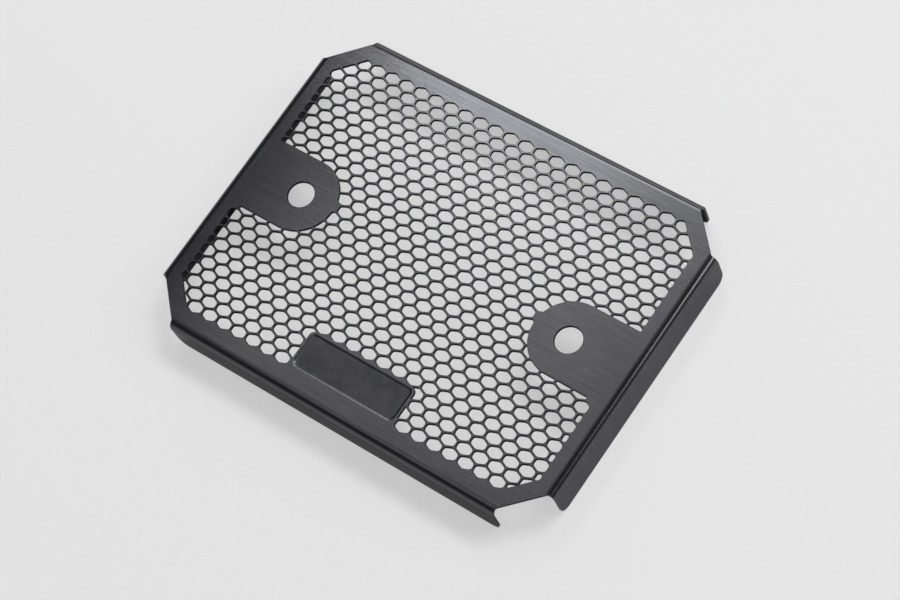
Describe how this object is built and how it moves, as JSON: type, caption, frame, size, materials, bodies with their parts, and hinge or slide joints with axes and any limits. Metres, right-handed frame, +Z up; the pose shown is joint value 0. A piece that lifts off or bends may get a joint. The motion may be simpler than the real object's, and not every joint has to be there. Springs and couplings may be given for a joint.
{
  "type": "voltage regulator guard",
  "caption": "Folded honeycomb sheet guard with cut corners, flanges on all sides, bolt tongues and a plain recessed panel, that covers a motorcycle voltage regulator.",
  "frame": {"origin": "centre of the guard, on the plane of the flanges' free edges that it stands on", "axes": "+X along the long sides and the line of the bolt holes, +Y across, away from the recessed panel, +Z up through the perforated face"},
  "size_m": [0.118, 0.0884, 0.0102],
  "materials": {
    "black_sheet": "black, fine hairline brushed along the length, satin"
  },
  "bodies": {
    "root": {"regulator_guard": "black_sheet"}
  },
  "joints": []
}
